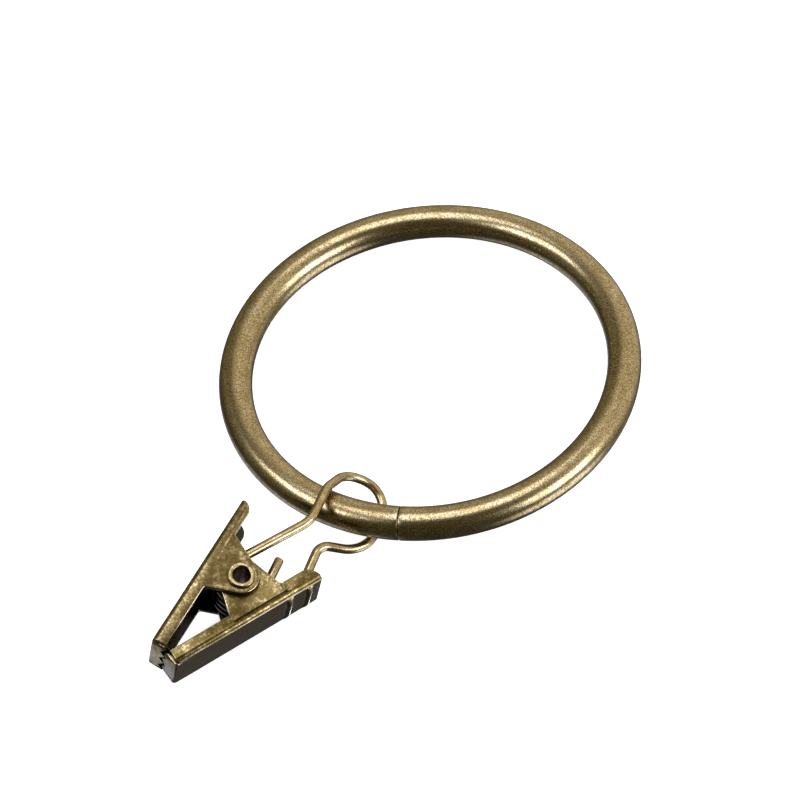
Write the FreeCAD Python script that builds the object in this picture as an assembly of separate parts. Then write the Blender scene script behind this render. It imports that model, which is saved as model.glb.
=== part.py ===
import FreeCAD, Part
import math
import os

# A curtain ring that carries a spring clip on a wire hook.
# Sizes are in millimetres and angles in degrees. The ring lies flat round the
# origin with its axis along +Z. The clip has axes of its own: x runs along the
# lower jaw from nose to handle, y points to the upper jaw, z is the rivet axis.

# Ring: one round rod bent to a circle, its two ends butted at the seam
ring_bore = 38.0
ring_wire = 3.6
seam_angle = -105.9
seam_gap = 0.08
seam_round = 0.14

# Where the hook goes round the ring, and how the clip hangs from there
station_angle = -120.5
pivot_out = 11.63
pivot_along = -6.57
pivot_rise = 1.57
clip_heading = 27.81
clip_dip = 3.54
clip_roll = 17.65

# Hook spring: one wire with a short leg, a coil, a long leg, a loop and a tail
hook_wire = 1.0
hook_play = 0.345
coil_bore = 3.6
coil_gap = 0.04
coil_end_angle = -58.0
coil_full_turns = 2
coil_bends = 21
coil_play = 0.32
short_leg = 5.5

# Tail of the hook: it lies on the lower jaw, rises out of it and turns to the ring
tail_end = 4.3
tail_end_side = 0.65
tail_foot = 5.36
tail_foot_lift = 0.16
tail_side = 1.53
tail_foot_bend = 1.6
tail_reach = 10.44
tail_level = 0.28
tail_reach_side = 1.68
tail_bend = 1.55

# Loop of the hook: under the rod, up inside the ring and back over the rod
under_along = 2.61
under_out = 0.3
under_drop = 0.15
under_bend = 3.8
inside_along = 1.62
inside_in = 3.43
inside_rise = 0.4
inside_bend = 2.7
crown_along = 2.45
crown_in = 3.1
crown_rise = 0.4
crown_bend = 3.5
over_along = 2.68
over_in = 0.61
over_rise = 0.2
over_bend = 2.9

# Long leg of the hook, from the loop down to the coil
leg_reach = 10.08
leg_drop = 0.27
leg_side = 1.42
leg_bend = 3.5

# Sheet metal of both jaws
sheet = 0.5
bend_inside = 0.12
ear_gap = 0.05
rivet_gap = 0.05

# Upper jaw, measured from the rivet axis and square to its own web
upper_web = 4.2
upper_nose = 10.85
upper_handle = 7.6
upper_nose_edge = 2.6
upper_handle_edge = 2.85
upper_handle_corner = 1.25
upper_ear = 1.9
upper_ear_front = 3.0
upper_ear_back = 3.7
upper_spread = 26.7
ear_corner_round = 0.3

# Lower jaw, its ears set inwards to go between the ears of the upper jaw
lower_web = 4.5
lower_nose = 10.85
lower_handle = 7.05
lower_nose_edge = 2.87
lower_handle_edge = 2.72
lower_handle_corner = 1.55
lower_ear = 2.3
lower_ear_front = 3.3
lower_ear_back = 3.15
lower_spread = 0.74
joggle = 0.32
ledge = 0.45
ledge_slope = 0.3
joggle_length = 0.5

# Nose plates folded over the mouth, with teeth that mesh
nose_slit = 0.12
nose_fold = 0.32
nose_round = 0.5
nose_set_back = 0.22
upper_plate = 2.5
lower_plate = 2.6
bite_level = 2.41
tooth_count = 3
tooth_pitch = 1.6
tooth_shift = 0.07
tooth_height = 0.52
tooth_relief = 0.3
tooth_gap = 0.08

# Grip ribs pressed across the handle web of the lower jaw
rib_width = 0.9
rib_height = 0.28
rib_groove = 0.2
rib_first = 3.1
rib_pitch = 2.4

# Pivot rivet: a hollow eyelet rolled over at both ends
rivet_shank = 2.2
rivet_bore = 1.8
rivet_rim = 2.8
rivet_rim_height = 0.34
rivet_rim_round = 0.16

# Values that follow from the sizes
ring_radius = (ring_bore + ring_wire) / 2
hook_clear = (ring_wire + hook_wire) / 2 + hook_play
bend_outside = bend_inside + sheet
coil_radius = (coil_bore + hook_wire) / 2
coil_sweep = 360.0 * coil_full_turns + 270.0 + coil_end_angle
coil_half = (hook_wire + coil_gap) * coil_sweep / 720.0
ear_inside = coil_half + hook_wire / 2 + coil_play
ear_outside = ear_inside + sheet
jaw_inside = ear_outside + ear_gap
jaw_half = jaw_inside + sheet
lower_half = ear_outside + joggle
upper_plate_half = jaw_inside - nose_slit
lower_plate_half = lower_half - sheet - nose_slit
through = 4 * jaw_half

V = FreeCAD.Vector
ORIGIN = V(0, 0, 0)
AXIS_X = V(1, 0, 0)
AXIS_Z = V(0, 0, 1)


# Path of straight runs joined by tangent arcs; a bend with no radius of its
# own takes half of its shorter side
def bent_path(points, radii):
    edges = []
    start = points[0]
    for before, corner, after, radius in zip(points, points[1:], points[2:], radii):
        back = before - corner
        ahead = after - corner
        half = back.getAngle(ahead) / 2
        reach = min(back.Length, ahead.Length) / 2
        if radius is not None:
            reach = radius / math.tan(half)
        back.normalize()
        ahead.normalize()
        middle = back + ahead
        entry = corner + back * reach
        leave = corner + ahead * reach
        if (entry - start).Length > 1e-6:
            edges.append(Part.LineSegment(start, entry).toShape())
        if reach > 1e-6:
            middle.normalize()
            inset = reach / math.cos(half) - reach * math.tan(half)
            edges.append(Part.Arc(entry, corner + middle * inset, leave).toShape())
        start = leave
    if (points[-1] - start).Length > 1e-6:
        edges.append(Part.LineSegment(start, points[-1]).toShape())
    return Part.Wire(edges)


# Closed outline through corners given as two coordinates and a radius; it
# starts and ends at the first point, which lies within a straight side
def outline(corners, place):
    points = [place(a, b) for a, b, radius in corners]
    radii = [radius if radius else 0.0 for a, b, radius in corners[1:]]
    return bent_path(points + [points[0]], radii)


def side_view(a, b):
    return V(a, b, 0)


# Turns the clip's axes into those of the ring
def clip_placement():
    at_ring = ring_point(pivot_along, ring_wire / 2 + pivot_out, pivot_rise)
    turn = FreeCAD.Rotation(clip_heading, clip_dip, clip_roll)
    return FreeCAD.Placement(at_ring, turn)


# Point given along the ring, outwards from its rod's centre and upwards
def ring_point(along, out, up):
    turn = FreeCAD.Rotation(AXIS_Z, station_angle)
    return turn.multVec(V(ring_radius + out, along, up))


def clip_point(x, y, z):
    return clip_placement().multVec(V(x, y, z))


def make_ring():
    rod = Part.Face(Part.Wire(Part.makeCircle(ring_wire / 2, V(ring_radius, 0, 0), V(0, 1, 0))))
    seam = math.degrees(seam_gap / ring_radius)
    body = rod.revolve(ORIGIN, AXIS_Z, 360.0 - seam)
    body.rotate(ORIGIN, AXIS_Z, seam_angle + seam / 2)
    ends = [edge for edge in body.Edges if abs(edge.Length - math.pi * ring_wire) < 0.01]
    return body.makeFillet(seam_round, ends)


# Corners of the coil, a polygon that rises evenly and whose arcs touch its sides
def coil_corners():
    step = coil_sweep / coil_bends
    radius = coil_radius / math.cos(math.radians(step / 2))
    corners = []
    for index in range(coil_bends):
        share = (index + 0.5) / coil_bends
        angle = math.radians(90.0 + coil_sweep * share)
        corners.append(clip_point(radius * math.cos(angle), radius * math.sin(angle),
                                  coil_half * (1 - 2 * share)))
    return corners


def short_leg_end():
    angle = math.radians(coil_end_angle)
    x = coil_radius * math.cos(angle) - short_leg * math.sin(angle)
    y = coil_radius * math.sin(angle) + short_leg * math.cos(angle)
    return clip_point(x, y, -coil_half)


def make_spring_hook():
    slope = tail_end * math.tan(math.radians(lower_spread))
    rest = -lower_web + slope + sheet + hook_wire / 2 + rivet_gap
    inner = ring_wire / 2
    route = [
        (clip_point(tail_end, rest, -tail_end_side), None),
        (clip_point(tail_foot, rest + tail_foot_lift, -tail_side), tail_foot_bend),
        (clip_point(tail_reach, tail_level, -tail_reach_side), tail_bend),
        (ring_point(under_along, inner + under_out, -hook_clear - under_drop), under_bend),
        (ring_point(inside_along, -inner - inside_in, -hook_clear + inside_rise), inside_bend),
        (ring_point(-crown_along, -inner - crown_in, crown_rise), crown_bend),
        (ring_point(-over_along, -over_in, hook_clear + over_rise), over_bend),
        (clip_point(leg_reach, coil_radius - leg_drop, leg_side), leg_bend),
    ]
    points = [point for point, radius in route] + coil_corners() + [short_leg_end()]
    radii = [radius for point, radius in route[1:]] + [None] * coil_bends
    path = bent_path(points, radii)
    start = points[0]
    section = Part.Wire(Part.makeCircle(hook_wire / 2, start, points[1] - start))
    return path.makePipeShell([section], True, False), path


# Side line of an ear that leaves the flange at a point and touches the round
# end of the ear; gives where it meets the level of the ear's tip
def ear_corner(across, level, radius):
    normal = math.atan2(level, across) - math.acos(radius / math.hypot(across, level))
    return (radius + radius * math.sin(normal)) / math.cos(normal)


# Side outline of a jaw, seen along the rivet with its web on top
def jaw_side(web, flange_end, handle, nose_edge, handle_edge, handle_corner, ear, front, back):
    corners = [
        (0, web, 0),
        (handle, web, 0),
        (handle, handle_edge, handle_corner),
        (back, handle_edge, ear_corner_round),
        (ear_corner(back, handle_edge, ear), -ear, ear),
        (-ear_corner(front, nose_edge, ear), -ear, ear),
        (-front, nose_edge, ear_corner_round),
        (-flange_end, nose_edge, 0),
        (-flange_end, web, nose_round),
    ]
    face = Part.Face(outline(corners, side_view))
    face.translate(V(0, 0, -through / 2))
    return face.extrude(V(0, 0, through))


# U section of folded sheet at one station along the jaw; the flanges step
# inwards by the inset at the ledge
def channel_section(x, web, tip, side, inset):
    wall = side - inset
    lower = web - sheet - ledge
    upper = lower + ledge_slope
    half = [
        (web, side, bend_outside),
        (upper, side, 0),
        (lower, wall, 0),
        (tip, wall, 0),
        (tip, wall - sheet, 0),
        (lower, wall - sheet, 0),
        (upper, side - sheet, 0),
        (web - sheet, side - sheet, bend_inside),
    ]
    other = [(y, -z, radius) for y, z, radius in reversed(half)]
    corners = [(web, 0, 0)] + half + other
    return outline(corners, lambda y, z: V(x, y, z))


def plain_channel(web, nose, handle, tip):
    section = Part.Face(channel_section(-nose, web, tip, jaw_half, 0.0))
    return section.extrude(V(nose + handle, 0, 0))


def joggled_channel(web, nose, handle, tip, front, back):
    stations = [
        (-nose, 0.0),
        (-front - joggle_length / 2, 0.0),
        (-front + joggle_length / 2, joggle),
        (back - joggle_length / 2, joggle),
        (back + joggle_length / 2, 0.0),
        (handle, 0.0),
    ]
    sections = [channel_section(x, web, tip, lower_half, inset) for x, inset in stations]
    return Part.makeLoft(sections, True, True)


# Strip at the nose end of the web, folded down over the mouth
def nose_plate(web, nose, depth, half):
    run = nose - 2 * bend_outside
    corners = [
        (-nose + bend_outside * 1.5, web, 0),
        (-nose, web, nose_fold),
        (-nose, web - depth, 0),
        (-nose + sheet, web - depth, 0),
        (-nose + sheet, web - sheet, bend_inside),
        (-run, web - sheet, 0),
        (-run, web, 0),
    ]
    face = Part.Face(outline(corners, side_view))
    face.translate(V(0, 0, -half))
    return face.extrude(V(0, 0, 2 * half))


# Block that reaches from the zigzag of the bite to the far side of the nose; its
# valleys are deeper by the relief
def bite_block(side, relief):
    middle = -bite_level + side * tooth_gap / 2
    far = middle - side * 2 * upper_plate
    valley = middle - tooth_height / 2
    reach = jaw_inside
    points = [V(0, far, -reach), V(0, valley, -reach)]
    for index in range(2 * tooth_count + 1):
        level = middle + tooth_height / 2 if index % 2 else valley - relief
        points.append(V(0, level, (index - tooth_count) * tooth_pitch / 2 - tooth_shift))
    points += [V(0, valley, reach), V(0, far, reach)]
    face = Part.Face(Part.makePolygon(points + points[:1]))
    face.translate(V(-lower_nose - 2 * upper_plate, 0, 0))
    return face.extrude(V(4 * upper_plate, 0, 0))


# Rib pressed out of the handle web, with its groove on the inside
def add_ribs(jaw, web):
    half = rib_width / 2
    radius = (half ** 2 + rib_height ** 2) / (2 * rib_height)
    hollow = (half ** 2 + rib_groove ** 2) / (2 * rib_groove)
    length = 2 * (lower_half - bend_outside)
    for index in range(2):
        x = rib_first + index * rib_pitch
        bump = Part.makeCylinder(radius, length, V(x, web + rib_height - radius, -length / 2))
        slab = Part.makeBox(2 * radius, 2 * radius, length, V(x - radius, web - sheet / 2, -length / 2))
        groove = Part.makeCylinder(hollow, length, V(x, web - sheet + rib_groove - hollow, -length / 2))
        jaw = jaw.fuse(bump.common(slab)).cut(groove)
    return jaw


def rivet_hole():
    radius = rivet_shank / 2 + rivet_gap
    return Part.makeCylinder(radius, through, V(0, 0, -through / 2))


def make_upper_jaw():
    channel = plain_channel(upper_web, upper_nose, upper_handle, -2 * upper_ear)
    jaw = channel.common(jaw_side(upper_web, upper_nose - nose_set_back, upper_handle, upper_nose_edge,
                                  upper_handle_edge, upper_handle_corner, upper_ear,
                                  upper_ear_front, upper_ear_back))
    bite = bite_block(1, 0.0)
    bite.rotate(ORIGIN, AXIS_Z, -upper_spread)
    plate = nose_plate(upper_web, upper_nose, upper_plate, upper_plate_half).cut(bite)
    jaw = jaw.fuse(plate).cut(rivet_hole()).removeSplitter()
    jaw.rotate(ORIGIN, AXIS_Z, upper_spread)
    jaw.Placement = clip_placement().multiply(jaw.Placement)
    return jaw


def make_lower_jaw():
    channel = joggled_channel(lower_web, lower_nose, lower_handle, -2 * lower_ear,
                              lower_ear_front, lower_ear_back)
    jaw = channel.common(jaw_side(lower_web, lower_nose - nose_set_back, lower_handle, lower_nose_edge,
                                  lower_handle_edge, lower_handle_corner, lower_ear,
                                  lower_ear_front, lower_ear_back))
    bite = bite_block(-1, tooth_relief)
    bite.rotate(ORIGIN, AXIS_X, 180.0)
    bite.rotate(ORIGIN, AXIS_Z, lower_spread)
    plate = nose_plate(lower_web, lower_nose, lower_plate, lower_plate_half).cut(bite)
    jaw = add_ribs(jaw, lower_web).fuse(plate).cut(rivet_hole()).removeSplitter()
    jaw.rotate(ORIGIN, AXIS_X, 180.0)
    jaw.rotate(ORIGIN, AXIS_Z, lower_spread)
    jaw.Placement = clip_placement().multiply(jaw.Placement)
    return jaw


# Tube through all four ears, its ends rolled outwards into round rims
def make_rivet():
    foot = jaw_half + rivet_gap
    top = foot + rivet_rim_height
    rim = rivet_rim / 2
    corners = [
        (rivet_bore / 2, 0, 0),
        (rivet_bore / 2, top, rivet_rim_round),
        (rim, top, rivet_rim_round),
        (rim, foot, 0),
        (rivet_shank / 2, foot, 0),
        (rivet_shank / 2, -foot, 0),
        (rim, -foot, 0),
        (rim, -top, rivet_rim_round),
        (rivet_bore / 2, -top, rivet_rim_round),
    ]
    profile = Part.Face(outline(corners, lambda r, z: V(r, 0, z)))
    rivet = profile.revolve(ORIGIN, AXIS_Z, 360)
    rivet.Placement = clip_placement().multiply(rivet.Placement)
    return rivet


def main():
    os.makedirs("parts", exist_ok=True)
    hook, path = make_spring_hook()
    nodes = {
        "ring": make_ring(),
        "spring_hook": hook,
        "lower_jaw": make_lower_jaw(),
        "upper_jaw": make_upper_jaw(),
        "pivot_rivet": make_rivet(),
    }
    for name, shape in nodes.items():
        shape.exportStep("parts/" + name + ".step")
        print(name, shape.ShapeType, len(shape.Solids), shape.isValid(), round(shape.Volume, 3))
    print("hook wire", round(path.Length * math.pi * hook_wire ** 2 / 4, 3))


main()
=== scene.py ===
from math import cos, hypot, pi, radians, sin, tan

import bmesh
import bpy
from mathutils import Euler, Matrix, Vector


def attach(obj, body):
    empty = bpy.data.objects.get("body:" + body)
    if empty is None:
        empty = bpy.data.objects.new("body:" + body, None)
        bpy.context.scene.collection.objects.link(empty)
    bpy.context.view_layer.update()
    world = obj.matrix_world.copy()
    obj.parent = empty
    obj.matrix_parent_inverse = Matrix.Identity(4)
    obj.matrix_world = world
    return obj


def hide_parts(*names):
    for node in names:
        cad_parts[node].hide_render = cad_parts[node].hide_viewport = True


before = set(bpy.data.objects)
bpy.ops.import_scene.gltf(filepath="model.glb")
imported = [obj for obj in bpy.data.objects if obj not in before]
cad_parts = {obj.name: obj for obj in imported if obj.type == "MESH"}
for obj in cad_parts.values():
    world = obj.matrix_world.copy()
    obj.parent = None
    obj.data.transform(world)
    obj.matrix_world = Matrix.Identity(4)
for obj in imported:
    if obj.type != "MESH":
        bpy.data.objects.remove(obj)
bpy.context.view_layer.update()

bl_info = {
    "name": "Curtain Ring with Clip",
    "version": (1, 0, 0),
    "blender": (4, 5, 0),
    "location": "View3D > Sidebar > Curtain Ring",
    "description": "Dresses a curtain ring, its hook spring and its toothed clip in antique brass",
    "category": "Object",
}

MM = 0.001

# Fineness of the drawn pieces
ROD_SIDES, ROD_STEPS = 64, 240
WIRE_SIDES, COIL_STEPS = 24, 130
BEND_STEP, LEAST_STEPS = radians(6.0), 4
RUN_PIECES, LEG_PIECES = 2, 3

# Colour sockets of a Mix node, which share their names with its sockets for other values
MIX_FIRST, MIX_SECOND, MIX_RESULT = 6, 7, 2

# Noises of the finish: scale, detail and roughness
STREAKS, WAVES = (4200.0, 5.0, 0.7), (380.0, 2.0, 0.5)

# Noises whose scale each piece has of its own: detail and roughness
CLOUD_DETAIL, SPECK_DETAIL = (5.0, 0.65), (4.0, 0.7)

# Scale of the streaks across and along a drawn piece
DRAWN_OUT = (1.0, 1.0, 0.1)

# Levels of those noises where each layer of the plating starts and is full
RUBBED_CLOUDS, PATINA_CLOUDS = (0.40, 0.66), (0.64, 0.43)
PATINA_STREAKS, PATINA_SPECKS, BRIGHT_SPECKS = (0.44, 0.64), (0.47, 0.55), (0.42, 0.32)

# Depth of the grain at full relief
GRAIN_DEPTH = 0.03 * MM

# How bright each place is made, from wear on edges, backs and noses and as a painted highlight on
# the rib flanks that face the handles, and how much painted shade it gets
WEAR_AND_HIGHLIGHT = {"rib": 1.0, "back": 0.8, "edge": 0.6, "nose": 0.3}
# Painted shade: inner faces of the folded jaws, the seam groove, the coil's mouth side and the
# rivet bore are darkened where little light reaches them
PAINTED_SHADE_LEVELS = {"sheet": 1.0, "coil": 0.9, "seam": 0.8, "bore": 0.6}

# Copies of the model: distance that points are joined over, and the angle of a flat face
WELD, FLAT = 0.02 * MM, radians(0.6)

# Angles from which an edge is rounded, and from which it is shaded as sharp
ROUNDED_FROM, SHARP_FROM = radians(40.0), radians(50.0)

# Teeth in the clip's own axes, in mm: beyond this x and between these levels
BITE_X, BITE_BOTTOM, BITE_TOP = -9.5, -3.3, -1.6

# Levels over the outside of a jaw's back from which a face is part of a rib, or of the back
RIB_LEVEL, BACK_LEVEL = 0.04 * MM, -0.05 * MM

# Inside of a folded jaw that gets painted shade: level from which it counts, and how far it reaches
# to each side
INSIDE_LEVEL, INSIDE_REACH = 2.5 * MM, 2.6 * MM

# How far behind its foremost point the nose plate's face ends
NOSE_DEPTH = 0.1 * MM

# How squarely a face has to look one way, as a cosine
FACES_CUT, FACES_WALL, FACES_NOSE, FACES_BORE, FACES_RIB = 0.4, 0.6, 0.9, 0.8, 0.1

# Ribs: least height of a point on one, and room left at the cuts where they start to sink
RIB_STANDS, CUT_MARGIN = 0.03 * MM, 0.01 * MM

UP = Vector((0, 0, 1))


# Sizes and colours that a user would change

class RingSizes(bpy.types.PropertyGroup):
    """Round rod bent to a ring."""
    radius: bpy.props.FloatProperty(
        name="Ring radius", description="From the ring's centre to the middle of its rod",
        default=20.8 * MM, unit="LENGTH")
    rod: bpy.props.FloatProperty(
        name="Rod", description="Diameter of the rod",
        default=3.6 * MM, unit="LENGTH")
    seam_angle: bpy.props.FloatProperty(
        name="Seam angle", description="Where the two ends of the rod meet",
        default=radians(-105.9), subtype="ANGLE", unit="ROTATION")
    seam_gap: bpy.props.FloatProperty(
        name="Seam gap", description="Slit that shows between the two ends",
        default=0.02 * MM, unit="LENGTH")
    seam_round: bpy.props.FloatProperty(
        name="Seam rounding", description="Rounding of the rod's cut ends",
        default=0.12 * MM, unit="LENGTH")


class HookSizes(bpy.types.PropertyGroup):
    """One wire: tail, loop round the ring, long leg, coil and short leg."""
    wire: bpy.props.FloatProperty(
        name="Wire", description="Diameter of the spring wire",
        default=1.0 * MM, unit="LENGTH")
    play: bpy.props.FloatProperty(
        name="Play", description="Space between the wire and the ring",
        default=0.345 * MM, unit="LENGTH")
    end_round: bpy.props.FloatProperty(
        name="End rounding", description="Rounding of the wire's cut ends",
        default=0.12 * MM, unit="LENGTH")
    coil_bore: bpy.props.FloatProperty(
        name="Coil bore", description="Inner diameter of the coil on the rivet",
        default=3.6 * MM, unit="LENGTH")
    coil_gap: bpy.props.FloatProperty(
        name="Coil gap", description="Space between the turns of the coil",
        default=0.04 * MM, unit="LENGTH")
    coil_sweep: bpy.props.FloatProperty(
        name="Coil sweep", description="Angle that the coil winds through",
        default=radians(932.0), subtype="ANGLE", unit="ROTATION")
    short_leg: bpy.props.FloatProperty(
        name="Short leg", description="Free leg behind the upper jaw",
        default=5.5 * MM, unit="LENGTH")


class ClipSizes(bpy.types.PropertyGroup):
    """Where the clip hangs, and the finish of its sheet edges."""
    station: bpy.props.FloatProperty(
        name="Station", description="Angle round the ring at which the hook sits",
        default=radians(-120.5), subtype="ANGLE", unit="ROTATION")
    out: bpy.props.FloatProperty(
        name="Rivet out", description="From the middle of the rod out to the rivet",
        default=13.43 * MM, unit="LENGTH")
    along: bpy.props.FloatProperty(
        name="Rivet along", description="From the station along the ring to the rivet",
        default=-6.57 * MM, unit="LENGTH")
    rise: bpy.props.FloatProperty(
        name="Rivet rise", description="From the plane of the ring up to the rivet",
        default=1.57 * MM, unit="LENGTH")
    heading: bpy.props.FloatProperty(
        name="Heading", description="Direction that the clip's handles point in",
        default=radians(27.81), subtype="ANGLE", unit="ROTATION")
    dip: bpy.props.FloatProperty(
        name="Dip", description="How far the handles point down",
        default=radians(3.54), subtype="ANGLE", unit="ROTATION")
    roll: bpy.props.FloatProperty(
        name="Roll", description="How far the clip lies over about its own length",
        default=radians(17.65), subtype="ANGLE", unit="ROTATION")
    web_rest: bpy.props.FloatProperty(
        name="Web rest", description="Level at which the wire's tail lies on the lower jaw",
        default=-3.394 * MM, unit="LENGTH")
    spread: bpy.props.FloatProperty(
        name="Spread", description="Angle of the upper jaw's back to the lower jaw",
        default=radians(26.7), subtype="ANGLE", unit="ROTATION")
    lean: bpy.props.FloatProperty(
        name="Lean", description="Angle of the lower jaw's back to the clip's own length",
        default=radians(0.74), subtype="ANGLE", unit="ROTATION")
    lower_back: bpy.props.FloatProperty(
        name="Lower back", description="From the rivet to the outside of the lower jaw's back",
        default=4.5 * MM, unit="LENGTH")
    upper_back: bpy.props.FloatProperty(
        name="Upper back", description="From the rivet to the outside of the upper jaw's back",
        default=4.2 * MM, unit="LENGTH")
    rib_run: bpy.props.FloatProperty(
        name="Rib run", description="From the middle of the back to where a rib starts to sink",
        default=1.4 * MM, unit="LENGTH")
    rib_end: bpy.props.FloatProperty(
        name="Rib end", description="Share of a rib's height that is left at its ends",
        default=0.4, min=0.0, max=1.0)
    edge_round: bpy.props.FloatProperty(
        name="Edge rounding", description="Rounding of the cut edges of the sheet",
        default=0.09 * MM, unit="LENGTH")
    rim_round: bpy.props.FloatProperty(
        name="Rim rounding", description="Rounding of the rivet's rolled rims",
        default=0.12 * MM, unit="LENGTH")


class BrassColours(bpy.types.PropertyGroup):
    """Colours of the antique brass plating."""
    bright: bpy.props.FloatVectorProperty(
        name="Bright brass", description="Brass where the plating is rubbed bright",
        default=(0.82, 0.67, 0.41), subtype="COLOR", size=3, min=0.0, max=1.0)
    plating: bpy.props.FloatVectorProperty(
        name="Plating", description="Brass of the plain surfaces",
        default=(0.50, 0.365, 0.165), subtype="COLOR", size=3, min=0.0, max=1.0)
    patina: bpy.props.FloatVectorProperty(
        name="Patina", description="Dark brown left in hollows and specks",
        default=(0.14, 0.098, 0.028), subtype="COLOR", size=3, min=0.0, max=1.0)
    # Painted shade: dark colour laid on inner faces, the seam, the coil and the bore where little
    # light reaches them
    painted_shade: bpy.props.FloatVectorProperty(
        name="Painted_shade_colour", description="Inner faces and cut ends that no brush has rubbed bright",
        default=(0.05, 0.043, 0.037), subtype="COLOR", size=3, min=0.0, max=1.0)


class StudioSizes(bpy.types.PropertyGroup):
    """Floor, lights and camera."""
    camera_place: bpy.props.FloatVectorProperty(
        name="Camera place", description="Where the camera stands",
        default=(-3.626 * MM, -278.481 * MM, 333.321 * MM), subtype="TRANSLATION",
        unit="LENGTH", size=3)
    camera_pitch: bpy.props.FloatProperty(
        name="Camera pitch", description="Turn of the camera up from straight down",
        default=radians(39.5), subtype="ANGLE", unit="ROTATION")
    camera_roll: bpy.props.FloatProperty(
        name="Camera roll", description="Turn of the camera about its own line of sight",
        default=radians(-9.357), subtype="ANGLE", unit="ROTATION")
    lens: bpy.props.FloatProperty(
        name="Lens", description="Focal length in millimetres on a 36 mm sensor",
        default=183.53, min=1.0)
    floor_level: bpy.props.FloatProperty(
        name="Floor level", description="Height of the floor below the ring's centre",
        default=-3.2 * MM, unit="LENGTH")
    floor_colour: bpy.props.FloatVectorProperty(
        name="Floor colour", description="Plain pale floor",
        default=(0.9, 0.9, 0.9), subtype="COLOR", size=3, min=0.0, max=1.0)
    light_colour: bpy.props.FloatVectorProperty(
        name="Light colour", description="Cool white of the soft boxes",
        default=(0.93, 1.0, 1.28), subtype="COLOR", size=3, min=0.0)


def settings(name):
    return getattr(bpy.context.scene, name)


# Places on the ring and on the clip

def ring_point(along, out, up):
    """Point in mm: along the ring from the hook's station, outwards from the rod's middle, up."""
    clip = settings("clip_sizes")
    local = Vector((settings("ring_sizes").radius + out * MM, along * MM, up * MM))
    return Matrix.Rotation(clip.station, 3, "Z") @ local


def clip_turn():
    clip = settings("clip_sizes")
    return Euler((clip.roll, clip.dip, clip.heading), "XYZ").to_matrix()


def clip_point(x, y, z):
    """Point in mm in the clip's axes: x to the handles, y to the upper jaw, z along the rivet."""
    clip = settings("clip_sizes")
    pivot = ring_point(clip.along / MM, clip.out / MM, clip.rise / MM)
    return pivot + clip_turn() @ (Vector((x, y, z)) * MM)


def in_clip(point, turn):
    """Place of a point in axes with their zero at the rivet's middle and the given turn."""
    return turn.transposed() @ (point - clip_point(0, 0, 0))


# Drawn rod and wire

class DrawnWire:
    """Round section drawn along runs and bends; it keeps its place on the wire for the finish."""

    def __init__(self, start, heading, radius, sides):
        self.bm = bmesh.new()
        self.drawn = self.bm.verts.layers.float_vector.new("drawn")
        turn = heading.to_track_quat("Z", "Y").to_matrix()
        place = Matrix.Translation(start) @ turn.to_4x4()
        made = bmesh.ops.create_circle(self.bm, cap_ends=False, radius=radius, segments=sides,
                                       matrix=place)
        self.front = made["verts"]
        self.length = 0.0
        for vert in self.front:
            local = turn.transposed() @ (vert.co - start)
            vert[self.drawn] = (local.x, local.y, 0.0)

    def front_edges(self):
        front = set(self.front)
        return [e for e in self.bm.edges if e.verts[0] in front and e.verts[1] in front]

    def keep_place(self, fresh, travel):
        """Gives new points the place round the wire of the points that they were drawn from."""
        self.length += travel
        old = set(self.front)
        for vert in fresh:
            source = next(e.other_vert(vert) for e in vert.link_edges if e.other_vert(vert) in old)
            around = source[self.drawn]
            vert[self.drawn] = (around.x, around.y, self.length)
        self.front = fresh

    def run(self, travel, pieces):
        """Straight run."""
        for _ in range(pieces):
            made = bmesh.ops.extrude_edge_only(self.bm, edges=self.front_edges())
            fresh = [g for g in made["geom"] if isinstance(g, bmesh.types.BMVert)]
            bmesh.ops.translate(self.bm, verts=fresh, vec=travel / pieces)
            self.keep_place(fresh, travel.length / pieces)

    def bend(self, centre, axis, angle, radius, steps, rise=Vector()):
        """Bend about a centre, or a coil when it also rises."""
        for step in range(steps):
            made = bmesh.ops.spin(
                self.bm, geom=self.front + self.front_edges(), cent=centre, axis=axis,
                angle=angle / steps, dvec=rise / steps, steps=1,
                use_merge=False, use_duplicate=False)
            fresh = [g for g in made["geom_last"] if isinstance(g, bmesh.types.BMVert)]
            self.keep_place(fresh, hypot(angle * radius, rise.length) / steps)

    def close(self, rounding):
        """Caps both ends and rounds their rims."""
        rims = [e for e in self.bm.edges if e.is_boundary]
        bmesh.ops.holes_fill(self.bm, edges=rims, sides=0)
        bmesh.ops.bevel(self.bm, geom=rims, offset=rounding, offset_type="OFFSET", segments=3,
                        profile=0.5, affect="EDGES", material=-1, clamp_overlap=True)
        bmesh.ops.recalc_face_normals(self.bm, faces=self.bm.faces)


def finish_piece(bm, name, node, body, material):
    """Turns a finished bmesh into the piece that stands for a node of the model."""
    mesh = bpy.data.meshes.new(name)
    bm.to_mesh(mesh)
    bm.free()
    piece = bpy.data.objects.new(name, mesh)
    bpy.context.scene.collection.objects.link(piece)
    piece.data.materials.append(material)
    mesh.shade_smooth()
    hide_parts(node)
    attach(piece, body)
    return piece


# Finishes of the metal

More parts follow.
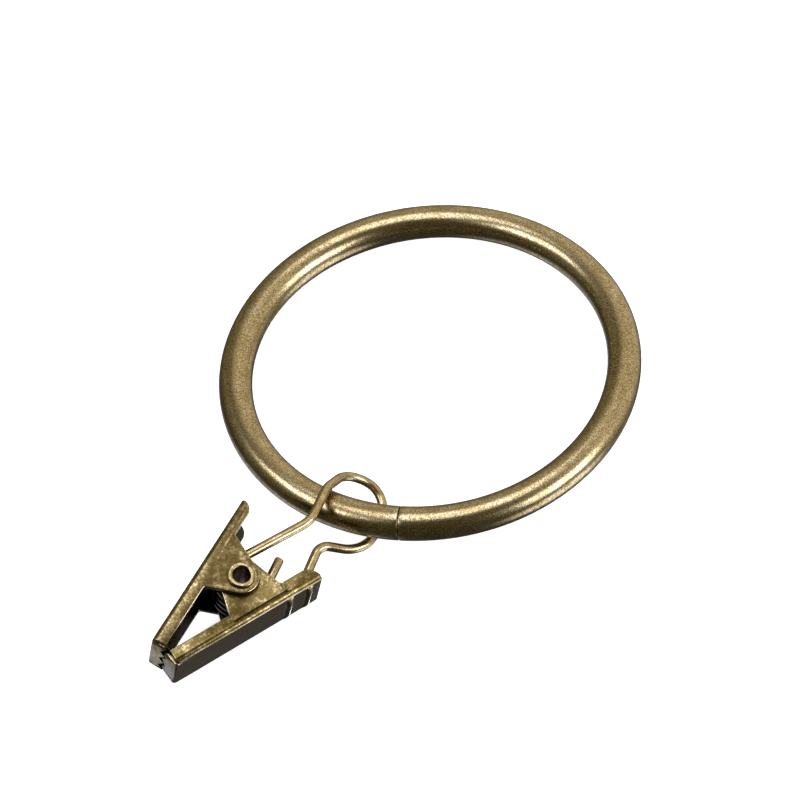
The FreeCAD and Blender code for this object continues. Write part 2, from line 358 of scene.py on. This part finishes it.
class Finish:
    """Node tree of one metal finish."""

    def __init__(self, name):
        self.material = bpy.data.materials.new(name)
        self.material.use_nodes = True
        self.tree = self.material.node_tree
        self.shader = self.tree.nodes["Principled BSDF"]
        self.shader.inputs["Metallic"].default_value = 1.0
        self.place = self.tree.nodes.new("ShaderNodeTexCoord").outputs["Object"]

    def link(self, source, target):
        self.tree.links.new(source, target)

    def stretched(self, source, scale):
        node = self.tree.nodes.new("ShaderNodeMapping")
        node.inputs["Scale"].default_value = scale
        self.link(source, node.inputs["Vector"])
        return node.outputs["Vector"]

    def drawn(self):
        """Place round and along a drawn wire."""
        node = self.tree.nodes.new("ShaderNodeAttribute")
        node.attribute_name = "drawn"
        return node.outputs["Vector"]

    def attribute(self, name):
        node = self.tree.nodes.new("ShaderNodeAttribute")
        node.attribute_name = name
        return node.outputs["Fac"]

    def noise(self, source, scale, detail, roughness):
        node = self.tree.nodes.new("ShaderNodeTexNoise")
        node.inputs["Scale"].default_value = scale
        node.inputs["Detail"].default_value = detail
        node.inputs["Roughness"].default_value = roughness
        self.link(source, node.inputs["Vector"])
        return node.outputs["Fac"]

    def spread(self, source, low, high, to_low, to_high):
        """Stretches the part of a value between two levels to a new range."""
        node = self.tree.nodes.new("ShaderNodeMapRange")
        node.inputs["From Min"].default_value = low
        node.inputs["From Max"].default_value = high
        node.inputs["To Min"].default_value = to_low
        node.inputs["To Max"].default_value = to_high
        self.link(source, node.inputs["Value"])
        return node.outputs["Result"]

    def math(self, operation, first, second):
        node = self.tree.nodes.new("ShaderNodeMath")
        node.operation = operation
        for socket, value in zip(node.inputs, (first, second)):
            if isinstance(value, float):
                socket.default_value = value
            else:
                self.link(value, socket)
        return node.outputs["Value"]

    def blend(self, share, first, second):
        """Colour between two, each a colour or the output of another blend."""
        node = self.tree.nodes.new("ShaderNodeMix")
        node.data_type = "RGBA"
        self.link(share, node.inputs["Factor"])
        for index, value in ((MIX_FIRST, first), (MIX_SECOND, second)):
            if isinstance(value, bpy.types.NodeSocket):
                self.link(value, node.inputs[index])
            else:
                node.inputs[index].default_value = (*value, 1.0)
        return node.outputs[MIX_RESULT]

    def bump(self, height, strength, distance):
        node = self.tree.nodes.new("ShaderNodeBump")
        self.link(strength, node.inputs["Strength"])
        node.inputs["Distance"].default_value = distance
        self.link(height, node.inputs["Height"])
        self.link(node.outputs["Normal"], self.shader.inputs["Normal"])


def plated_colour(finish, streaks, cloudy, speckled, mottle, lines, aged, tone):
    """Plating that is rubbed bright in places, under clouds, streaks and specks of patina."""
    colours = settings("brass_colours")
    bright, plating = tuple(colours.bright), tuple(colours.plating)
    patina = tuple(part * tone for part in colours.patina)
    share = finish.spread(cloudy, *RUBBED_CLOUDS, 0.0, 0.5 - 0.4 * aged)
    colour = finish.blend(share, plating, bright)
    share = finish.spread(cloudy, *PATINA_CLOUDS, 0.0, 0.9 * aged)
    colour = finish.blend(share, colour, patina)
    share = finish.spread(streaks, *PATINA_STREAKS, 0.0, 1.25 * lines * mottle)
    colour = finish.blend(share, colour, patina)
    share = finish.spread(speckled, *PATINA_SPECKS, 0.0, 0.85 * mottle)
    colour = finish.blend(share, colour, patina)
    share = finish.spread(speckled, *BRIGHT_SPECKS, 0.0, 0.7 - 0.35 * aged)
    return finish.blend(share, colour, bright)


def antique_brass(name, rough, relief, drawn=False, clouds=900.0, specks=6200.0, mottle=1.0,
                  lines=0.6, waves=0.0, aged=0.0, tone=1.0):
    """Antique brass, with the marks that the pieces carry.

    The roughness goes from 0.06 below rough to 0.10 above it, and relief is the strength of the
    grain. clouds and specks are the scales of the patina. mottle, lines and waves say how strong
    the specks, the drawn lines and the unevenness of the sheet are. aged says how much patina is
    left, and tone how light it is. The attribute rubbed marks places made bright by wear, and on
    the rib flanks a painted highlight; the painted shade attribute marks places darkened as painted
    shade.
    """
    colours = settings("brass_colours")
    finish = Finish(name)
    lined = finish.stretched(finish.drawn(), DRAWN_OUT) if drawn else finish.place
    streaks = finish.noise(lined, *STREAKS)
    cloudy = finish.noise(finish.place, clouds, *CLOUD_DETAIL)
    speckled = finish.noise(finish.place, specks, *SPECK_DETAIL)
    colour = plated_colour(finish, streaks, cloudy, speckled, mottle, lines, aged, tone)

    grain = finish.math("ADD", finish.math("MULTIPLY", streaks, lines),
                        finish.math("MULTIPLY", speckled, 0.5))
    dull = finish.math("ADD", finish.math("MULTIPLY", cloudy, -0.25), grain)
    middle = 0.125 + 0.5 * lines
    roughness = finish.spread(dull, middle - 0.145, middle + 0.155, rough - 0.06, rough + 0.10)

    # rubbed brightens and smooths places with wear on edges, backs and noses, and puts a painted
    # highlight on the rib flanks
    worn_and_lit = finish.attribute("rubbed")
    colour = finish.blend(finish.math("MULTIPLY", worn_and_lit, 0.75), colour, tuple(colours.bright))
    roughness = finish.math("SUBTRACT", roughness, finish.math("MULTIPLY", worn_and_lit, 0.12))
    strength = finish.math("SUBTRACT", relief, finish.math("MULTIPLY", worn_and_lit, 1.2 * relief))
    # Painted shade: darkens inner faces, the seam, the coil and the bore towards the painted shade
    # colour
    colour = finish.blend(finish.attribute("painted_shade_mask"), colour, tuple(colours.painted_shade))

    height = grain
    if waves:
        wavy = finish.noise(finish.place, *WAVES)
        height = finish.math("ADD", grain, finish.math("MULTIPLY", wavy, waves))
    finish.link(colour, finish.shader.inputs["Base Color"])
    finish.link(roughness, finish.shader.inputs["Roughness"])
    finish.bump(height, strength, GRAIN_DEPTH)
    return finish.material


# Pieces

def turn_at(before, corner, after, radius):
    """Centre, axis, angle and reach of the bend that rounds a corner."""
    arriving = (corner - before).normalized()
    leaving = (after - corner).normalized()
    angle = arriving.angle(leaving)
    inwards = (leaving - arriving).normalized()
    centre = corner + inwards * (radius / cos(angle / 2))
    return centre, arriving.cross(leaving).normalized(), angle, radius * tan(angle / 2)


def hook_route():
    """Corners of the tail, the loop round the ring and the long leg, and their radii in mm."""
    hook = settings("hook_sizes")
    ring = settings("ring_sizes")
    clip = settings("clip_sizes")
    clear = ((ring.rod + hook.wire) / 2 + hook.play) / MM
    inner = ring.rod / 2 / MM
    coil = (hook.coil_bore + hook.wire) / 2 / MM
    rest = clip.web_rest / MM
    return [
        # end of the tail, in the lower jaw's channel
        (clip_point(4.3, rest, -0.65), 0.0),
        # where the tail rises off the lower jaw's back
        (clip_point(5.36, rest + 0.16, -1.53), 1.6),
        # S-bend beyond the handles
        (clip_point(10.44, 0.28, -1.68), 1.55),
        # under the rod, on its outer side
        (ring_point(2.61, inner + 0.3, -clear - 0.15), 3.8),
        # low inside the ring
        (ring_point(1.62, -inner - 3.43, -clear + 0.4), 2.7),
        # up inside the ring
        (ring_point(-2.45, -inner - 3.1, 0.4), 3.5),
        # over the rod
        (ring_point(-2.68, -0.61, clear + 0.2), 2.9),
        # into the mouth between the handles
        (clip_point(10.08, coil - 0.27, 1.42), 3.5),
        # start of the coil
        (clip_point(0.0, coil, 1.346), 0.0),
    ]


def darken_seam(bm):
    """Paints shade on the cut ends of the rod, which meet in a narrow groove that light hardly
    reaches.
    """
    bm.faces.layers.float.new("rubbed")
    painted_shade_mask = bm.faces.layers.float.new("painted_shade_mask")
    for face in bm.faces:
        along = UP.cross(face.calc_center_median()).normalized()
        # Painted shade in the seam groove
        face[painted_shade_mask] = PAINTED_SHADE_LEVELS["seam"] if abs(face.normal.dot(along)) > FACES_CUT else 0.0


class RING_OT_ring(bpy.types.Operator):
    """Spin the rod of the ring from one cut end to the other"""
    bl_idname = "curtain_ring.ring"
    bl_label = "Ring"

    def execute(self, context):
        ring = settings("ring_sizes")
        slit = ring.seam_gap / ring.radius
        start = Matrix.Rotation(ring.seam_angle + slit / 2, 3, "Z") @ Vector((ring.radius, 0, 0))
        rod = DrawnWire(start, UP.cross(start), ring.rod / 2, ROD_SIDES)
        rod.bend(Vector(), UP, 2 * pi - slit, ring.radius, ROD_STEPS)
        rod.close(ring.seam_round)
        darken_seam(rod.bm)
        finish = antique_brass("brushed_antique_brass", 0.25, relief=0.26, drawn=True, clouds=700.0,
                               mottle=0.9, lines=0.2)
        finish_piece(rod.bm, "ring_rod", "ring", "ring_body", finish)
        return {"FINISHED"}


def darken_coil(bm):
    """Paints shade on the side of the coil that looks into the mouth, deepest in the clip, where
    the jaws shade it.
    """
    bm.faces.layers.float.new("rubbed")
    painted_shade_mask = bm.faces.layers.float.new("painted_shade_mask")
    for face in bm.faces:
        inwards = -in_clip(face.calc_center_median(), clip_turn()).x
        # Painted shade, fading in over the first mm towards the mouth
        face[painted_shade_mask] = PAINTED_SHADE_LEVELS["coil"] * min(1.0, max(0.0, inwards / MM))


class RING_OT_hook(bpy.types.Operator):
    """Draw the hook spring: long leg, loop round the ring, coil and short leg"""
    bl_idname = "curtain_ring.hook"
    bl_label = "Hook spring"

    def execute(self, context):
        hook = settings("hook_sizes")
        route = hook_route()
        points = [point for point, radius in route]
        here = points[0]
        wire = DrawnWire(here, points[1] - here, hook.wire / 2, WIRE_SIDES)
        for index in range(1, len(points) - 1):
            corner, following = points[index], points[index + 1]
            radius = route[index][1] * MM
            centre, axis, angle, reach = turn_at(points[index - 1], corner, following, radius)
            leave = corner - here
            leave.length -= reach
            wire.run(leave, RUN_PIECES)
            wire.bend(centre, axis, angle, radius, max(LEAST_STEPS, round(angle / BEND_STEP)))
            here = corner + (following - corner).normalized() * reach
        wire.run(points[-1] - here, LEG_PIECES)

        rivet_axis = clip_turn() @ UP
        coil_radius = (hook.coil_bore + hook.wire) / 2
        descent = (hook.wire + hook.coil_gap) * hook.coil_sweep / (2 * pi)
        wire.bend(clip_point(0, 0, 0), rivet_axis, hook.coil_sweep, coil_radius, COIL_STEPS,
                  rise=rivet_axis * -descent)
        leaving = clip_turn() @ Vector((-cos(hook.coil_sweep), -sin(hook.coil_sweep), 0))
        wire.run(leaving * hook.short_leg, LEG_PIECES)
        wire.close(hook.end_round)
        darken_coil(wire.bm)
        finish = antique_brass("drawn_wire_antique_brass", 0.24, relief=0.12, drawn=True,
                               mottle=0.6, lines=0.25)
        finish_piece(wire.bm, "hook_wire", "spring_hook", "clip_body", finish)
        return {"FINISHED"}


def merged_copy(node):
    """Copy of a node of the model as one closed skin with flat faces whole."""
    bm = bmesh.new()
    bm.from_mesh(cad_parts[node].data)
    bmesh.ops.remove_doubles(bm, verts=bm.verts, dist=WELD)
    bmesh.ops.dissolve_limit(bm, angle_limit=FLAT, verts=bm.verts, edges=bm.edges)
    return bm


def in_bite(edge):
    """Whether an edge is one of the teeth, which stay as sharp as they were cut."""
    ends = [in_clip(v.co, clip_turn()) / MM for v in edge.verts]
    return all(end.x < BITE_X and BITE_BOTTOM < end.y < BITE_TOP for end in ends)


def round_edges(bm, rounding):
    """Rounds the edges that stand out and marks them as rubbed, then softens the inner corners."""
    rubbed = bm.faces.layers.float.new("rubbed")
    for stands_out, offset in ((True, rounding), (False, rounding / 2)):
        edges = [e for e in bm.edges if e.is_manifold and e.is_convex == stands_out
                 and e.calc_face_angle() > ROUNDED_FROM and not in_bite(e)]
        made = bmesh.ops.bevel(bm, geom=edges, offset=offset, offset_type="OFFSET", segments=2,
                               profile=0.5, affect="EDGES", material=-1, clamp_overlap=False)
        for face in made["faces"]:
            face[rubbed] = WEAR_AND_HIGHLIGHT["edge"] if stands_out else 0.0
    bmesh.ops.triangulate(bm, faces=[f for f in bm.faces if len(f.verts) > 4])


def sink_rib_ends(bm, turn):
    """Lets both ends of the pressed ribs sink into the back of the lower jaw."""
    clip = settings("clip_sizes")
    middle = clip_point(0, 0, 0)
    across = turn @ UP

    def height(vert):
        return -in_clip(vert.co, turn).y - clip.lower_back

    for side in (-1, 1):
        faces = {f for v in bm.verts if height(v) > RIB_STANDS for f in v.link_faces}
        edges = {e for f in faces for e in f.edges}
        verts = {v for f in faces for v in f.verts}
        bmesh.ops.bisect_plane(bm, geom=[*verts, *edges, *faces], dist=0.001 * MM,
                               plane_co=middle + across * side * clip.rib_run, plane_no=across)
    for vert in bm.verts:
        if height(vert) > 0.0 and abs(in_clip(vert.co, turn).z) > clip.rib_run + CUT_MARGIN:
            vert.co += turn @ Vector((0, height(vert) * (1 - clip.rib_end), 0))


def mark_faces(bm, turn, back):
    """Paints shade on the inside of the folded sheet; marks its back and nose plate as rubbed, and
    paints a highlight on the rib flanks that face the handles.
    """
    painted_shade_mask = bm.faces.layers.float.new("painted_shade_mask")
    rubbed = bm.faces.layers.float["rubbed"]
    nose = min(in_clip(v.co, turn).x for v in bm.verts)
    for face in bm.faces:
        place = in_clip(face.calc_center_median(), turn)
        looks = turn.transposed() @ face.normal
        level = abs(place.y)
        # Painted shade: faces between the flanges and under the back, where the jaws shade each
        # other
        between_flanges = looks.z * place.z < 0 and abs(looks.z) > FACES_WALL
        under_back = (looks.y * place.y < 0 and abs(looks.y) > FACES_WALL
                      and level > INSIDE_LEVEL and abs(place.z) < INSIDE_REACH)
        face[painted_shade_mask] = PAINTED_SHADE_LEVELS["sheet"] if between_flanges or under_back else 0.0
        looks_out = looks.y * place.y > 0
        # Painted highlight: of the rib faces, only the flanks that face the handles are made
        # bright; the back and the nose are rubbed bright by wear
        if looks_out and level > back + RIB_LEVEL:
            face[rubbed] = WEAR_AND_HIGHLIGHT["rib"] if looks.x > FACES_RIB else 0.0
        elif looks_out and level > back + BACK_LEVEL:
            face[rubbed] = WEAR_AND_HIGHLIGHT["back"]
        elif looks.x < -FACES_NOSE and place.x < nose + NOSE_DEPTH:
            face[rubbed] = WEAR_AND_HIGHLIGHT["nose"]


def dress_jaw(node, name, body, angle, back, finish):
    """Rounds, marks and finishes one jaw, whose back lies at an angle to the clip's own length."""
    turn = clip_turn() @ Matrix.Rotation(angle, 3, "Z")
    bm = merged_copy(node)
    if node == "lower_jaw":
        sink_rib_ends(bm, turn)
    round_edges(bm, settings("clip_sizes").edge_round)
    mark_faces(bm, turn, back)
    piece = finish_piece(bm, name, node, body, finish)
    piece.data.set_sharp_from_angle(angle=SHARP_FROM)


def stamped_brass(name, waves, aged, tone):
    return antique_brass(name, 0.27, relief=0.28, clouds=1100.0, specks=3600.0, waves=waves,
                         aged=aged, tone=tone)


class RING_OT_jaws(bpy.types.Operator):
    """Round the cut edges of both folded jaws and sink the ends of the ribs"""
    bl_idname = "curtain_ring.jaws"
    bl_label = "Jaws"

    def execute(self, context):
        clip = settings("clip_sizes")
        dress_jaw("lower_jaw", "jaw_with_ribs", "clip_body", clip.lean, clip.lower_back,
                  stamped_brass("stamped_dark_antique_brass", waves=3.0, aged=1.4, tone=0.88))
        dress_jaw("upper_jaw", "jaw_on_top", "upper_jaw_body", clip.spread, clip.upper_back,
                  stamped_brass("stamped_antique_brass", waves=7.0, aged=1.0, tone=1.0))
        return {"FINISHED"}


def darken_bore(bm):
    """Paints shade on the inside of the hollow rivet."""
    painted_shade_mask = bm.faces.layers.float.new("painted_shade_mask")
    axis = clip_turn() @ UP
    for face in bm.faces:
        out = face.calc_center_median() - clip_point(0, 0, 0)
        out -= axis * out.dot(axis)
        looks_in = face.normal.dot(out.normalized()) < -FACES_BORE
        # Painted shade in the bore
        face[painted_shade_mask] = PAINTED_SHADE_LEVELS["bore"] if looks_in else 0.0


class RING_OT_rivet(bpy.types.Operator):
    """Round the rolled rims of the hollow rivet"""
    bl_idname = "curtain_ring.rivet"
    bl_label = "Pivot rivet"

    def execute(self, context):
        bm = merged_copy("pivot_rivet")
        round_edges(bm, settings("clip_sizes").rim_round)
        darken_bore(bm)
        finish = antique_brass("rolled_antique_brass", 0.24, relief=0.2, mottle=0.6, aged=0.5)
        piece = finish_piece(bm, "rivet_eyelet", "pivot_rivet", "clip_body", finish)
        piece.data.set_sharp_from_angle(angle=SHARP_FROM)
        return {"FINISHED"}


# Stage

# How far the soft boxes stand from the object, in metres
LIGHT_DISTANCE = 0.7

# Soft boxes: name, degrees round and up, width and height in metres, power in watts
SOFT_BOXES = (
    ("right_softbox", 323.0, 20.0, 0.46, 0.36, 3.1),
    ("left_softbox", 187.0, 47.0, 0.44, 0.23, 1.7),
    ("overhead_softbox", 105.0, 84.0, 0.44, 0.44, 1.9),
)

# Pale walls and paper: degrees round and up, degrees to full and to no strength, strength, tone
NEUTRAL, COOL, WARM = (1.0, 0.97, 0.95), (0.92, 0.98, 1.24), (1.0, 0.95, 0.70)
GLOWS = (
    (32.0, 24.0, 25.0, 72.0, 0.80, NEUTRAL),
    (108.0, 18.0, 5.0, 50.0, 0.16, WARM),
    (118.0, -48.0, 3.0, 18.0, 0.50, COOL),
    (86.0, -32.0, 2.0, 12.0, 0.30, COOL),
    (72.0, -60.0, 1.0, 7.0, 4.20, COOL),
    (325.0, -37.0, 9.0, 27.0, 2.40, COOL),
    (15.0, -53.0, 4.0, 20.0, 0.25, NEUTRAL),
    (160.0, -47.0, 5.0, 25.0, 0.42, COOL),
    (187.0, -58.0, 4.0, 22.0, 0.40, COOL),
    (170.0, 30.0, 10.0, 45.0, 0.10, NEUTRAL),
)

# Dim room behind them: colour low down and high up, and the heights where each is reached
ROOM_LOW, ROOM_HIGH = (0.068, 0.068, 0.074, 1.0), (0.078, 0.070, 0.032, 1.0)
ROOM_LOW_AT, ROOM_HIGH_AT = -0.7, 0.1


def direction(azimuth, elevation):
    """Direction from the object, in degrees round from the right and up from the floor."""
    around, up = radians(azimuth), radians(elevation)
    return Vector((cos(around) * cos(up), sin(around) * cos(up), sin(up)))


def soft_light(name, azimuth, elevation, width, height, power):
    """Soft box that looks at the object."""
    light = bpy.data.lights.new(name, "AREA")
    light.shape = "RECTANGLE"
    light.size = width
    light.size_y = height
    light.energy = power
    light.color = settings("studio_sizes").light_colour
    lamp = bpy.data.objects.new(name, light)
    away = direction(azimuth, elevation)
    lamp.location = away * LIGHT_DISTANCE
    lamp.rotation_euler = away.to_track_quat("Z", "Y").to_euler()
    bpy.context.scene.collection.objects.link(lamp)


def room_shade(tree, look):
    """Colour of the dim room, from low down to high up."""
    height = tree.nodes.new("ShaderNodeSeparateXYZ")
    tree.links.new(look, height.inputs["Vector"])
    share = tree.nodes.new("ShaderNodeMapRange")
    share.inputs["From Min"].default_value = ROOM_LOW_AT
    share.inputs["From Max"].default_value = ROOM_HIGH_AT
    tree.links.new(height.outputs["Z"], share.inputs["Value"])
    dim = tree.nodes.new("ShaderNodeMix")
    dim.data_type = "RGBA"
    dim.inputs[MIX_FIRST].default_value = ROOM_LOW
    dim.inputs[MIX_SECOND].default_value = ROOM_HIGH
    tree.links.new(share.outputs["Result"], dim.inputs["Factor"])
    return dim.outputs[MIX_RESULT]


def add_glow(tree, look, below, azimuth, elevation, near, far, strength, tone):
    """Adds a soft pale patch in one direction to the light that is there already."""
    facing = tree.nodes.new("ShaderNodeVectorMath")
    facing.operation = "DOT_PRODUCT"
    facing.inputs[1].default_value = direction(azimuth, elevation)
    tree.links.new(look, facing.inputs[0])
    lobe = tree.nodes.new("ShaderNodeMapRange")
    lobe.interpolation_type = "SMOOTHSTEP"
    lobe.inputs["From Min"].default_value = cos(radians(far))
    lobe.inputs["From Max"].default_value = cos(radians(near))
    lobe.inputs["To Max"].default_value = strength
    tree.links.new(facing.outputs["Value"], lobe.inputs["Value"])
    total = tree.nodes.new("ShaderNodeVectorMath")
    total.operation = "MULTIPLY_ADD"
    tree.links.new(lobe.outputs["Result"], total.inputs[0])
    total.inputs[1].default_value = tone
    tree.links.new(below, total.inputs[2])
    return total.outputs["Vector"]


def studio_room():
    """Dim room with pale walls and paper that the metal mirrors softly."""
    world = bpy.data.worlds.new("studio_room")
    world.use_nodes = True
    tree = world.node_tree
    look = tree.nodes.new("ShaderNodeTexCoord").outputs["Generated"]
    light = room_shade(tree, look)
    for glow in GLOWS:
        light = add_glow(tree, look, light, *glow)
    tree.links.new(light, tree.nodes["Background"].inputs["Color"])
    return world


def paper_floor():
    """Plain pale floor that lights itself a little and isn't mirrored in the metal."""
    studio = settings("studio_sizes")
    bm = bmesh.new()
    bmesh.ops.create_grid(bm, x_segments=1, y_segments=1, size=3.0,
                          matrix=Matrix.Translation((0, 0, studio.floor_level)))
    mesh = bpy.data.meshes.new("floor")
    bm.to_mesh(mesh)
    bm.free()
    floor = bpy.data.objects.new("floor", mesh)
    bpy.context.scene.collection.objects.link(floor)
    paper = bpy.data.materials.new("white_paper")
    paper.use_nodes = True
    shader = paper.node_tree.nodes["Principled BSDF"]
    shader.inputs["Base Color"].default_value = (*studio.floor_colour, 1.0)
    shader.inputs["Roughness"].default_value = 0.9
    shader.inputs["Specular IOR Level"].default_value = 0.1
    shader.inputs["Emission Color"].default_value = (1.0, 1.0, 1.0, 1.0)
    shader.inputs["Emission Strength"].default_value = 0.8
    mesh.materials.append(paper)
    floor.visible_glossy = False
    return floor


def photo_camera():
    """Camera that sees the object as the photograph shows it."""
    studio = settings("studio_sizes")
    data = bpy.data.cameras.new("camera")
    data.lens = studio.lens
    data.sensor_width = 36.0
    data.clip_start = 0.01
    camera = bpy.data.objects.new("camera", data)
    camera.matrix_world = (Matrix.Translation(studio.camera_place)
                           @ Matrix.Rotation(studio.camera_pitch, 4, "X")
                           @ Matrix.Rotation(studio.camera_roll, 4, "Z"))
    bpy.context.scene.collection.objects.link(camera)
    return camera


class RING_OT_studio(bpy.types.Operator):
    """Set up the pale floor, the soft lights and the camera"""
    bl_idname = "curtain_ring.studio"
    bl_label = "Studio"

    def execute(self, context):
        paper_floor()
        for box in SOFT_BOXES:
            soft_light(*box)
        context.scene.world = studio_room()
        context.scene.camera = photo_camera()
        context.scene.view_settings.view_transform = "Standard"
        return {"FINISHED"}


OPERATORS = (RING_OT_ring, RING_OT_hook, RING_OT_jaws, RING_OT_rivet, RING_OT_studio)


class RING_PT_panel(bpy.types.Panel):
    """Steps that dress the curtain ring"""
    bl_idname = "RING_PT_panel"
    bl_label = "Curtain Ring"
    bl_space_type = "VIEW_3D"
    bl_region_type = "UI"
    bl_category = "Curtain Ring"

    def draw(self, context):
        for operator in OPERATORS:
            self.layout.operator(operator.bl_idname)


GROUPS = {
    "ring_sizes": RingSizes,
    "hook_sizes": HookSizes,
    "clip_sizes": ClipSizes,
    "brass_colours": BrassColours,
    "studio_sizes": StudioSizes,
}


def register():
    for group in GROUPS.values():
        bpy.utils.register_class(group)
    for name, group in GROUPS.items():
        setattr(bpy.types.Scene, name, bpy.props.PointerProperty(type=group))
    for operator in OPERATORS:
        bpy.utils.register_class(operator)
    bpy.utils.register_class(RING_PT_panel)


def unregister():
    bpy.utils.unregister_class(RING_PT_panel)
    for operator in reversed(OPERATORS):
        bpy.utils.unregister_class(operator)
    for name, group in GROUPS.items():
        delattr(bpy.types.Scene, name)
        bpy.utils.unregister_class(group)


def main():
    register()
    bpy.ops.curtain_ring.ring()
    bpy.ops.curtain_ring.hook()
    bpy.ops.curtain_ring.jaws()
    bpy.ops.curtain_ring.rivet()
    bpy.ops.curtain_ring.studio()


if __name__ == "__main__":
    main()
